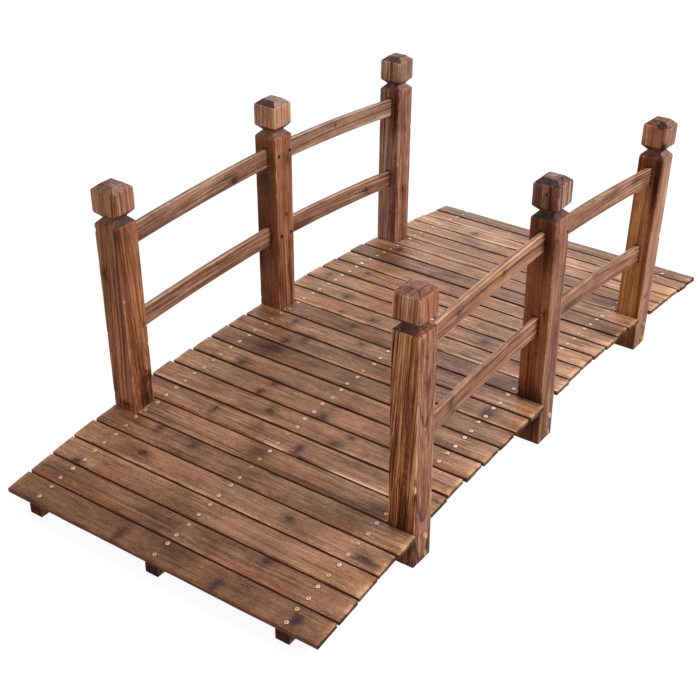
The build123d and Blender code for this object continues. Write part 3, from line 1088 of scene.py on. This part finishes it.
def wear_post(piece, x, y, top, chips_and_highlights, luck):
    """Bruises and small chips along the arrises, pale where the wood is fresh, and pale stretches on the
    front arris that are partly a painted highlight.
    """
    deck = top - CAP_HEIGHT
    start = Vector([luck.uniform(0, 50) for _ in range(3)])
    cap_middle = top - (CAP_FOOT_DROP + CAP_EDGE_DROP) / 2
    rule = post_arris(top)
    fresh = []
    for vertex in piece.data.vertices:
        co = vertex.co
        away = co - Vector((x, y, cap_middle if co.z > top - CAP_FOOT_DROP - CLEAR_OF_ARRIS else co.z))
        gap = rule((co.x - x, co.y - y, co.z - top / 2))
        near = max(0.0, 1 - gap / POST_WORN)
        bruise = max(0.0, noise.noise(co * 30 + start) + 0.1)
        chip = max(0.0, noise.noise(co * 70 + start) - 0.5) * 2.5
        out = away.normalized()
        co -= out * near * (BRUISE * bruise + CHIP * chip)
        co -= out * HAND_PLANED * abs(noise.noise(co * 24 - start))
        pale = min(1.0, 2.5 * chip) * luck.choice((0.3, 0.6, 1.0))
        # Pale stretches on the front arris: chipped wood, made paler as a painted highlight where it faces
        # the light
        if co.x < x and co.y < y:
            pale += sum(how * max(0.0, 1 - abs(co.z - deck - height * MM) / (half * MM))
                        for height, half, how in chips_and_highlights)
        fresh.append(near * pale)
    write(piece.data, "fresh", "FLOAT", fresh)


def nail_hole(x, y, z, size):
    """A small drilled hole in a face that looks along -Y."""
    radius = NAIL_HOLE * size
    return primitive(bpy.ops.mesh.primitive_cone_add, vertices=16, radius1=radius,
                     radius2=radius * NAIL_TAPER, depth=NAIL_DEPTH, location=(x, y, z),
                     rotation=(-pi / 2, 0, 0))


def post_blank(name, x, y, top):
    """A square post, its neck and cap drawn up from the shaft, cut finely; still in edit mode."""
    half = POST_SIDE / 2
    shoulder, neck, cap_foot, cap_edge = (
        top - drop for drop in (SHOULDER_DROP, NECK_DROP, CAP_FOOT_DROP, CAP_EDGE_DROP))
    piece = block(name, (x - half, y - half, -FOOT_SPARE), (x + half, y + half, shoulder))
    pick(piece, "FACE", facing_up)
    last_height = shoulder
    last_width = POST_SIDE
    for height, width in ((neck, NECK_SIDE), (cap_foot, POST_SIDE), (cap_edge, POST_SIDE), (top, CAP_FLAT)):
        lift = (0, 0, height - last_height)
        bpy.ops.mesh.extrude_region_move(TRANSFORM_OT_translate={"value": lift})
        grow = width / last_width
        bpy.ops.transform.resize(value=(grow, grow, 1), center_override=(x, y, height))
        last_height = height
        last_width = width
    pick(piece, "EDGE", lambda edge: (edge.verts[0].co + edge.verts[1].co).z > 0.02)
    ease(POST_EASE)
    upright = along(2)
    pick(piece, "EDGE", lambda edge: upright(edge) and edge.calc_length() > 0.1)
    bpy.ops.mesh.subdivide(number_cuts=POST_CUTS["along"])
    across = POST_CUTS["across"]
    clear = CLEAR_OF_ARRIS
    cut_at(2, steps(cap_foot + 2 * clear, cap_edge - 2 * clear, across))
    cut_at(2, [top - (NECK_DROP + CAP_FOOT_DROP) / 2, top - (NECK_DROP + SHOULDER_DROP) / 2,
               top - CAP_EDGE_DROP / 2])
    cut_at(0, steps(x - half + clear, x + half - clear, across))
    cut_at(1, steps(y - half + clear, y + half - clear, across))
    return piece


def post(side, place):
    """Square post with a V-cut neck and a bevelled cap, mortised for its rails."""
    node = f"post_{side}_{place}"
    facts = POSTS[side, place]
    lean = lean_over(side, place)
    x = STATIONS[place]
    y = SIDES[side] * POST_Y
    deck = deck_z(side, place)
    top = deck + CAP_HEIGHT
    piece = post_blank(node + "_worn", x, y, top)
    bpy.ops.mesh.select_all(action="SELECT")
    upright = lean.inverted()
    bpy.ops.mesh.bisect(plane_co=upright @ Vector((x, y, 0)), plane_no=upright.to_3x3() @ Vector((0, 0, 1)),
                        use_fill=True, clear_inner=True)
    finish_mesh()
    cutters = [pocket(level, side, bay, place)
               for bay, places in BAYS.items() if place in places for level in RAIL_TOPS]
    cutters += [nail_hole(x + across * MM, y - POST_SIDE / 2, deck + height * MM, size)
                for across, height, size in facts.get("nails", ())]
    cut_out(piece, cutters)
    wear_post(piece, x, y, top, facts.get("chips_and_highlights", ()), random.Random(node))
    bpy.ops.object.shade_smooth_by_angle(angle=SMOOTH_UNDER)
    knots, scorches = ([on_post(*mark, top=top) for mark in facts[word]] for word in ("knots", "scorches"))
    lay_grain(piece, (0, 1, 2), (x, y, top / 2), post_arris(top), post_facet(side, place, x, y, top),
              facts["log"], knots, scorches)
    seat(piece, lean)
    for vertex in piece.data.vertices:
        vertex.co.z = max(0.0, vertex.co.z)
    piece.data.materials.append(post_wood)
    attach(piece, "root")
    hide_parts(node)


for side in SIDES:
    for place in STATIONS:
        post(side, place)


# ---- rails and stringers


# Each rail: how much darker, how bleached, then its knots and scorches on the face that looks
# to the right, as (share of the way along, mm above the middle, half sizes in mm)
RAILS = {
    "upper left near": (0.05, 0.12, [(0.72, -8, 7, 6)], [(0.5, 30, 200, 12, -0.2)]),
    "lower left near": (-0.03, 0.07, [], [(0.5, 12, 120, 5, 0.12)]),
    "upper left far": (-0.02, 0.16, [(0.46, 8, 3, 3)], [(0.2, 0, 24, 9, 0.14)]),
    "lower left far": (-0.04, 0.10, [(0.74, -1, 5, 5)],
                       [(0.12, -14, 60, 8, 0.22), (0.95, 10, 30, 12, 0.2), (0.5, 30, 200, 12, -0.2)]),
    "upper right near": (-0.09, 0.0, [(0.27, 2, 6, 6), (0.62, 6, 4, 4)],
                         [(0.6, 3, 150, 4, 0.2), (1.0, 0, 22, 40, 0.4)]),
    "lower right near": (-0.06, 0.0, [(0.24, 6, 4, 7), (0.26, -14, 5, 4)],
                         [(0.5, 16, 190, 4, 0.16), (1.0, 0, 22, 40, 0.4)]),
    "upper right far": (-0.02, 0.0, [], [(0.80, 10, 30, 9, 0.35), (0.93, 0, 30, 14, 0.14)]),
    "lower right far": (0.01, 0.0, [], [(0.22, -10, 34, 9, 0.16), (0.5, 14, 80, 4, 0.12)]),
}
RAIL_TOP = (0.03, 0.8, 0.0, 0.10)         # how a rail's top differs from its sides
RAIL_MARK_SINK = 0.008
# A stringer's ends, darker and sooty as painted shade under the deck's overhang
STRINGER_END_SHADE = (0.24, 0.5, 0.25, 0.0)


def rail(level, side, bay):
    """A bar sawn to the arch, long arrises eased."""
    node = f"{level}_rail_{side}_{bay}"
    start, stop = (post_x(level, side, place) for place in BAYS[bay])
    inset = POST_SIDE / 2 - TENON
    low = (start + inset, -RAIL_THICK / 2, -RAIL_TALL)
    high = (stop - inset, RAIL_THICK / 2, 0)
    piece = block(node + "_worn", low, high)
    pick(piece, "EDGE", along(0))
    ease(RAIL_EASE)
    pick(piece, "EDGE", along(0))
    bpy.ops.mesh.subdivide(number_cuts=RAIL_CUTS)
    cut_at(2, [*(-row for row in RAIL_ROWS), -RAIL_TALL / 2, *(row - RAIL_TALL for row in RAIL_ROWS[::-1])])
    cut_at(1, [0])
    finish_mesh()
    middle = ((low[0] + high[0]) / 2, 0, -RAIL_TALL / 2)
    half_long = (high[0] - low[0]) / 2
    luck = random.Random(node)
    log = {
        "heart": (luck.uniform(-0.05, 0.05), either_way(luck, 0.02, 0.05)),
        "lean": (luck.uniform(-0.03, 0.03), luck.uniform(-0.03, 0.03)),
        "tone": luck.uniform(-0.03, 0.06),
    }
    tone, bleached, knots, scorches = RAILS[f"{level} {side} {bay}"]

    def facet(face):
        lift = RAIL_TOP if face.normal.z > 0.6 else PLAIN
        return (tone + lift[0], lift[1], 0.0, bleached + lift[3])

    def mark(share, above, half_along, half_tall, *depth):
        place = (-RAIL_THICK / 2, above * MM, (2 * share - 1) * half_long)
        return place, (RAIL_MARK_SINK, half_tall * MM, half_along * MM), *depth

    lay_grain(piece, (1, 2, 0), middle, box_arris(RAIL_THICK / 2, RAIL_TALL / 2, half_long), facet, log,
              [mark(*k) for k in knots], [mark(*s) for s in scorches])
    bend_to_arch(piece, R_DECK + RAIL_TOPS[level])
    seat(piece, hang(level, side, bay))
    piece.data.materials.append(rail_wood)
    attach(piece, "root")
    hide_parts(node)


for level in RAIL_TOPS:
    for side in SIDES:
        for bay in BAYS:
            rail(level, side, bay)


def bed_z(x):
    """Height of the flats on a stringer's top, one under each board."""
    angles = [board_angle(number) for number in range(1, BOARD_COUNT + 1)]
    return min(Z_CENTRE + (R_DECK - BOARD_THICK - x * sin(a)) / cos(a) for a in angles)


def under_z(x):
    """Height of a stringer's underside: sawn to the arch between two straight feet."""
    return max(STRINGER_FOOT, arch_z(R_DECK - BOARD_THICK - STRINGER_DEPTH, x))


def stringer_facet(face):
    """A stringer's ends are the darkest part of it: painted shade under the deck's overhang, on top of their
    end grain.
    """
    return STRINGER_END_SHADE if abs(face.normal.x) > 0.8 else PLAIN


def stringer(place):
    """A beam sawn to the arch, its long arrises eased."""
    node = f"stringer_{place}"
    low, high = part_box(node)
    piece = block(node + "_worn", (low.x, low.y, 0), (high.x, high.y, 1))
    bed = (R_DECK - BOARD_THICK) / cos(PITCH / R_DECK / 2)
    turn = sqrt((R_DECK - BOARD_THICK - STRINGER_DEPTH) ** 2 - (STRINGER_FOOT - Z_CENTRE) ** 2)
    joints = [bed * sin(board_angle(number + 0.5)) for number in range(1, BOARD_COUNT)]
    cut_at(0, [*joints, -turn, turn])
    bpy.ops.object.mode_set(mode="OBJECT")
    for vertex in piece.data.vertices:
        co = vertex.co
        co.z = bed_z(co.x) if co.z > 0.5 else under_z(co.x)
    bpy.ops.object.mode_set(mode="EDIT")

    def long_arris(edge):
        run = edge.verts[1].co - edge.verts[0].co
        lengthwise = abs(run.x) > 0.001 and abs(run.y) < 1e-6
        return lengthwise and len(edge.link_faces) == 2 and edge.calc_face_angle(0) > 1.2

    pick(piece, "EDGE", long_arris)
    ease(STRINGER_EASE)
    finish_mesh()
    half = (high - low) / 2
    luck = random.Random(node)
    log = {"heart": (luck.uniform(-0.03, 0.03), -0.06), "tone": 0.08}
    lay_grain(piece, (1, 2, 0), (low + high) / 2, box_arris(half.y, half.z, half.x), stringer_facet, log)
    piece.data.materials.append(stringer_wood)
    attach(piece, "root")
    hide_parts(node)


for beam in ("left", "middle", "right"):
    stringer(beam)


# ---- fastenings


def screw_pattern():
    """One countersunk head in its dark countersink, partly painted shade, standing on the origin."""
    head = primitive(bpy.ops.mesh.primitive_cylinder_add, vertices=12, radius=SCREW_HEAD, depth=SCREW_THICK)
    bpy.ops.object.mode_set(mode="EDIT")
    pick(head, "FACE", facing_up)
    for inward, up in SCREW_INSETS:
        bpy.ops.mesh.inset(thickness=inward, depth=up)
    bpy.ops.object.mode_set(mode="OBJECT")
    head.data.materials.append(steel)
    head.data.materials.append(recess)
    # The recess and the ring at the rim take the second material, painted shade
    for face in head.data.polygons:
        reach = [head.data.vertices[v].co.xy.length for v in face.vertices]
        if min(reach) > SCREW_HEAD - SCREW_SINK or max(reach) < SCREW_HEAD - SCREW_RECESS:
            face.material_index = 1
    return head


def placed_copy(pattern, matrix, plating):
    """A copy of a screw or bolt with its own mesh, put in place."""
    part = bpy.data.objects.new(pattern.name, pattern.data.copy())
    bpy.context.scene.collection.objects.link(part)
    part.data.transform(matrix)
    write(part.data, "plating", "FLOAT", [plating] * len(part.data.vertices))
    return part


def deck_screws(pattern):
    """Two screws through each board into each stringer, one piece for each stringer's."""
    for row, y in SCREW_ROWS.items():
        luck = random.Random(row)
        heads = []
        for number in range(1, BOARD_COUNT + 1):
            for across in SCREW_OFFSETS:
                stray = [luck.uniform(-far, far) for far in SCREW_STRAY]
                spot = Matrix.Translation((across + stray[0], y + stray[1], 0))
                plating = luck.choice(SCREW_PLATING)
                turn = Matrix.Rotation(luck.uniform(0, pi), 4, "Z")
                heads.append(placed_copy(pattern, on_arch(R_DECK, number) @ spot @ turn, plating))
        piece = joined(f"deck_screws_{row}", heads)
        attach(piece, "root")


screw = screw_pattern()
deck_screws(screw)
bpy.data.objects.remove(screw)


def bolt_pattern():
    """A flanged hexagon head that stands up from the origin."""
    flange = primitive(bpy.ops.mesh.primitive_cylinder_add, vertices=24, radius=BOLT_HEAD,
                       depth=BOLT_FLANGE, location=(0, 0, BOLT_FLANGE / 2))
    bpy.ops.object.mode_set(mode="EDIT")
    pick(flange, "EDGE", lambda edge: min(v.co.z for v in edge.verts) > 0.9 * BOLT_FLANGE)
    ease(BOLT_EASE)
    bpy.ops.object.mode_set(mode="OBJECT")
    head = primitive(bpy.ops.mesh.primitive_cylinder_add, vertices=6, radius=BOLT_HEX,
                     depth=BOLT_TALL, location=(0, 0, BOLT_FLANGE / 2 + BOLT_TALL / 2))
    bpy.ops.object.mode_set(mode="EDIT")
    pick(head, "FACE", facing_up)
    bpy.ops.mesh.inset(thickness=0.0006, depth=0.0004)
    bpy.ops.object.mode_set(mode="OBJECT")
    bolt = joined("bolt", [flange, head])
    bolt.data.materials.append(steel)
    return bolt


def post_bolts(pattern):
    """Two bolts through each post into the outer stringers, one piece for each side's."""
    for side, out in SIDES.items():
        heads = []
        for place, x in STATIONS.items():
            luck = random.Random(side + place)
            for height in BOLT_HEIGHTS:
                across = x + BOLT_SHIFT + luck.uniform(-BOLT_STRAY, BOLT_STRAY)
                spot = lean_over(side, place) @ Vector((across, out * (POST_Y + POST_SIDE / 2), height))
                turn = Matrix.Rotation(-out * pi / 2, 4, "X") @ Matrix.Rotation(luck.uniform(0, pi), 4, "Z")
                there = Matrix.Translation(spot) @ turn
                heads.append(placed_copy(pattern, there, luck.choice(BOLT_PLATING)))
        piece = joined(f"post_bolts_{side}", heads)
        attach(piece, "root")


bolt = bolt_pattern()
post_bolts(bolt)
bpy.data.objects.remove(bolt)


# ---- camera, light, floor

CAMERA_PLACE = (-1.8971, -1.2164, 1.4334)
CAMERA_YAW = -56.3245
CAMERA_PITCH = 31.3907
CAMERA_ROLL = 1.0428
CAMERA_LENS = 65.536
CAMERA_FILM = 36
CAMERA_SHIFT = (-0.042857, 0.0142857)
# Square lamps: place, size and power
LAMPS = {
    "key_lamp": ((0.5, -2.6, 3.2), 1.8, 135),
    "back_lamp": ((3.2, 1.6, 2.4), 2.2, 64),
    "fill_lamp": ((-3.0, 0.2, 1.8), 2.4, 15),
}
LAMP_AIM = Vector((0, 0, 0.2))
AIR_LIGHT = 0.33
FLOOR_REACH = 14
FLOOR_DROP = 0.0005
FLOOR_COLOUR = (0.45, 0.45, 0.45, 1)
# To the eye the floor is nearly white by itself, and takes a faint shadow
FLOOR_SHINE = 0.92
FLOOR_FAINT = (0.15, 0.15, 0.15, 1)
WHITE = (1, 1, 1, 1)


def set_camera():
    data = bpy.data.cameras.new("camera")
    data.lens = CAMERA_LENS
    data.sensor_width = CAMERA_FILM
    data.shift_x, data.shift_y = CAMERA_SHIFT
    camera = bpy.data.objects.new("camera", data)
    bpy.context.scene.collection.objects.link(camera)
    aim = Matrix.Rotation(radians(CAMERA_YAW), 4, "Z") @ Matrix.Rotation(radians(90 - CAMERA_PITCH), 4, "X")
    roll = Matrix.Rotation(radians(CAMERA_ROLL), 4, "Z")
    camera.matrix_world = Matrix.Translation(CAMERA_PLACE) @ aim @ roll
    bpy.context.scene.camera = camera


def soft_lamp(name, place, size, power):
    """A square lamp that faces the middle of the bridge."""
    data = bpy.data.lights.new(name, "AREA")
    data.size = size
    data.energy = power
    lamp = bpy.data.objects.new(name, data)
    bpy.context.scene.collection.objects.link(lamp)
    lamp.location = place
    lamp.rotation_euler = (LAMP_AIM - Vector(place)).to_track_quat("-Z", "Y").to_euler()


def seen_by_eye(tree):
    """1 for the camera's rays and those that a shiny or clear face sends on, 0 for the rest."""
    rays = add_node(tree, "ShaderNodeLightPath")
    share = rays.outputs["Is Camera Ray"]
    for kind in ("Is Glossy Ray", "Is Transmission Ray"):
        either = add_node(tree, "ShaderNodeMath", {0: share, 1: rays.outputs[kind]}, operation="MAXIMUM")
        share = either.outputs[0]
    return share


def studio_floor():
    """Pale floor that shows white to the camera and keeps a soft shadow."""
    ground = primitive(bpy.ops.mesh.primitive_circle_add, vertices=64, radius=FLOOR_REACH,
                       fill_type="NGON", location=(0, 0, -FLOOR_DROP))
    ground.name = "studio_floor"
    material = bpy.data.materials.new("pale_floor")
    material.use_nodes = True
    tree = material.node_tree
    tree.nodes.clear()
    matt = add_node(tree, "ShaderNodeBsdfDiffuse", {"Color": FLOOR_COLOUR}).outputs[0]
    faint = add_node(tree, "ShaderNodeBsdfDiffuse", {"Color": FLOOR_FAINT}).outputs[0]
    shine = add_node(tree, "ShaderNodeEmission", {"Strength": FLOOR_SHINE}).outputs[0]
    both = add_node(tree, "ShaderNodeAddShader", {0: faint, 1: shine}).outputs[0]
    seen = add_node(tree, "ShaderNodeMixShader", {0: seen_by_eye(tree), 1: matt, 2: both}).outputs[0]
    add_node(tree, "ShaderNodeOutputMaterial", {"Surface": seen})
    ground.data.materials.append(material)


def studio_air():
    """Even grey light, which the camera and shiny faces see as white."""
    world = bpy.data.worlds.new("studio_air")
    bpy.context.scene.world = world
    world.use_nodes = True
    tree = world.node_tree
    light = tree.nodes["Background"]
    light.inputs["Color"].default_value = WHITE
    light.inputs["Strength"].default_value = AIR_LIGHT
    white = add_node(tree, "ShaderNodeBackground", {"Color": WHITE, "Strength": 1.0}).outputs[0]
    seen = {0: seen_by_eye(tree), 1: light.outputs[0], 2: white}
    seen = add_node(tree, "ShaderNodeMixShader", seen).outputs[0]
    tree.links.new(seen, tree.nodes["World Output"].inputs["Surface"])


set_camera()
for lamp, facts in LAMPS.items():
    soft_lamp(lamp, *facts)
studio_floor()
studio_air()
bpy.context.scene.view_settings.view_transform = "Standard"
